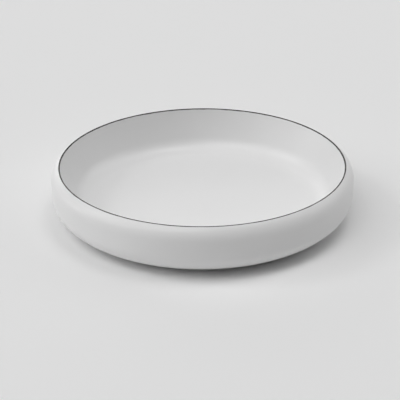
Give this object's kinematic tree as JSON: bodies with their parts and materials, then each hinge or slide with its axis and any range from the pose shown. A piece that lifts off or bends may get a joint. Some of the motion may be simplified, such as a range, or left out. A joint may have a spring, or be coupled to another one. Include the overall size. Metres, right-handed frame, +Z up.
{
  "type": "low serving bowl",
  "caption": "Wide, low glazed ceramic bowl with a rounded heel, a turned-in rim, a dark line on its thin lip and a bare foot ring.",
  "frame": {"origin": "centre of the ground plane under the foot ring", "axes": "+Z up along the bowl's axis, out of its mouth; X and Y are alike"},
  "size_m": [0.23, 0.23, 0.0412],
  "materials": {
    "clay": "fired, under glaze",
    "bare_clay": "fired, bare and ground smooth",
    "white_glaze": "satin glaze",
    "dark_line": "satin iron glaze"
  },
  "bodies": {
    "root": {"clay_body": "clay", "foot_ring": "bare_clay", "outer_glaze": "white_glaze", "inner_glaze": "white_glaze", "base_glaze": "white_glaze", "rim_line": "dark_line"}
  },
  "joints": []
}
